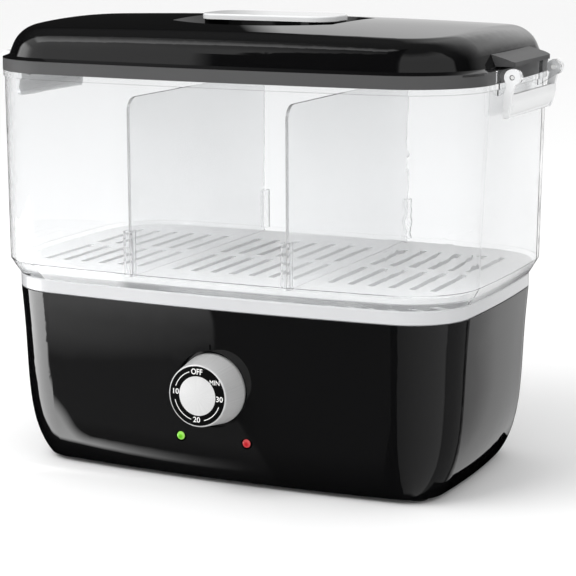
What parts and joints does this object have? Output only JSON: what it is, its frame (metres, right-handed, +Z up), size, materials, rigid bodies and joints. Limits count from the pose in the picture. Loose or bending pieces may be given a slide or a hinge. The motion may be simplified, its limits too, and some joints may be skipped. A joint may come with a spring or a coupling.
{
  "type": "hot towel warmer",
  "caption": "Hot towel steamer: clear lidded bin with dividers and fold-out end handles on a gloss black steam base with a timer knob and lamps.",
  "frame": {"origin": "on the surface it stands on, under the middle of the overall box; the middle of the base's plan is 4 mm behind it", "axes": "+X along the length, towards the right end seen from the front; -Y the front with the knob; +Z up"},
  "size_m": [0.3564, 0.2182, 0.2892],
  "materials": {
    "black_gloss": "high gloss",
    "white_gloss": "gloss",
    "clear_plastic": "clear moulded plastic",
    "black_matte": "fine spark texture",
    "rubber_black": "matt",
    "silver_satin": "satin silver",
    "dial_black": "printed gloss black",
    "green_lens": "lit lens",
    "red_lens": "lit lens",
    "cast_metal": "cast, brushed",
    "zinc_steel": "zinc plated",
    "silicone_grey": "matt",
    "board_green": "solder mask"
  },
  "bodies": {
    "base": {"base_housing": "black_gloss", "bottom_plate": "black_matte", "rubber_feet": "rubber_black", "water_reservoir": "white_gloss", "heater_plate": "cast_metal", "heater_gasket": "silicone_grey", "heater_clamp": "zinc_steel", "heating_element": "zinc_steel", "thermal_cutout": "zinc_steel", "heater_screws": "zinc_steel", "base_screws": "zinc_steel", "timer_body": "black_matte", "timer_screws": "zinc_steel", "board_screws": "zinc_steel", "green_lamp_lens": "green_lens", "red_lamp_lens": "red_lens", "lamp_board": "board_green", "cord_gland": "black_matte", "terminal_block": "white_gloss"},
    "knob": {"timer_knob": "silver_satin", "dial_ring": "dial_black", "knob_cap": "silver_satin", "timer_shaft": "zinc_steel"},
    "bin": {"steam_bin": "clear_plastic", "floor_grid": "clear_plastic", "divider_left": "clear_plastic", "divider_right": "clear_plastic", "handle_pins": "zinc_steel"},
    "right_handle": {"right_handle": "white_gloss"},
    "left_handle": {"left_handle": "white_gloss"},
    "lid": {"lid_shell": "black_gloss", "lid_tongues": "black_gloss", "lid_handle": "white_gloss", "lid_screws": "zinc_steel"}
  },
  "joints": [
    {"name": "timer_turn", "type": "hinge", "parent": "base", "child": "knob", "pos_m": [0, -0.096, 0.064], "axis": [0, 1, 0], "range_deg": [0, 270]},
    {"name": "bin_lift", "type": "slide", "parent": "base", "child": "bin", "axis": [0, 0, 1], "range_m": [0, 0.14]},
    {"name": "lid_lift", "type": "slide", "parent": "bin", "child": "lid", "axis": [0, 0, 1], "range_m": [0, 0.12]},
    {"name": "right_handle_fold", "type": "hinge", "parent": "bin", "child": "right_handle", "pos_m": [0.1733, 0.004, 0.2584], "axis": [0, -1, 0], "range_deg": [0, 100]},
    {"name": "left_handle_fold", "type": "hinge", "parent": "bin", "child": "left_handle", "pos_m": [-0.1733, 0.004, 0.2584], "axis": [0, 1, 0], "range_deg": [0, 100]}
  ]
}
